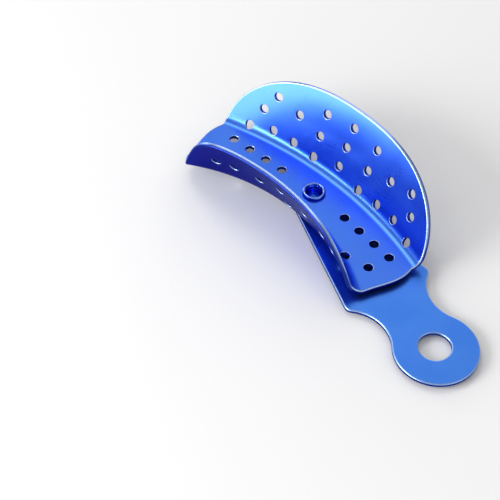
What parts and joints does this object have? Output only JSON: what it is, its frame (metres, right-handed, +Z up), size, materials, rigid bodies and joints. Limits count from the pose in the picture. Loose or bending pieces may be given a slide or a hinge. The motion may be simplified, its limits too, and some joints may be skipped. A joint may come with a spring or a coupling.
{
  "type": "impression tray",
  "caption": "Perforated metal dental impression tray: a curved trough with a tall outer wall on a flat handle plate that swivels about a rivet.",
  "frame": {"origin": "centre of the rivet head's flat underside, on the swivel axis", "axes": "+Z up along the swivel axis, +X along the chord of the curved trough towards the handle's finger hole, +Y towards the tall outer wall"},
  "size_m": [0.0978, 0.0395, 0.0225],
  "materials": {
    "tray_sheet": "glossy blue anodised",
    "handle_sheet": "satin blue anodised, fine grain",
    "rivet_metal": "glossy blue anodised"
  },
  "bodies": {
    "tray": {"tray_shell": "tray_sheet", "pivot_rivet": "rivet_metal", "spacer_washer": "rivet_metal"},
    "handle": {"handle_plate": "handle_sheet"}
  },
  "joints": [
    {"name": "handle_swivel", "type": "hinge", "parent": "tray", "child": "handle", "pos_m": [0, 0, 0.00145], "axis": [0, 0, 1], "continuous": true}
  ]
}
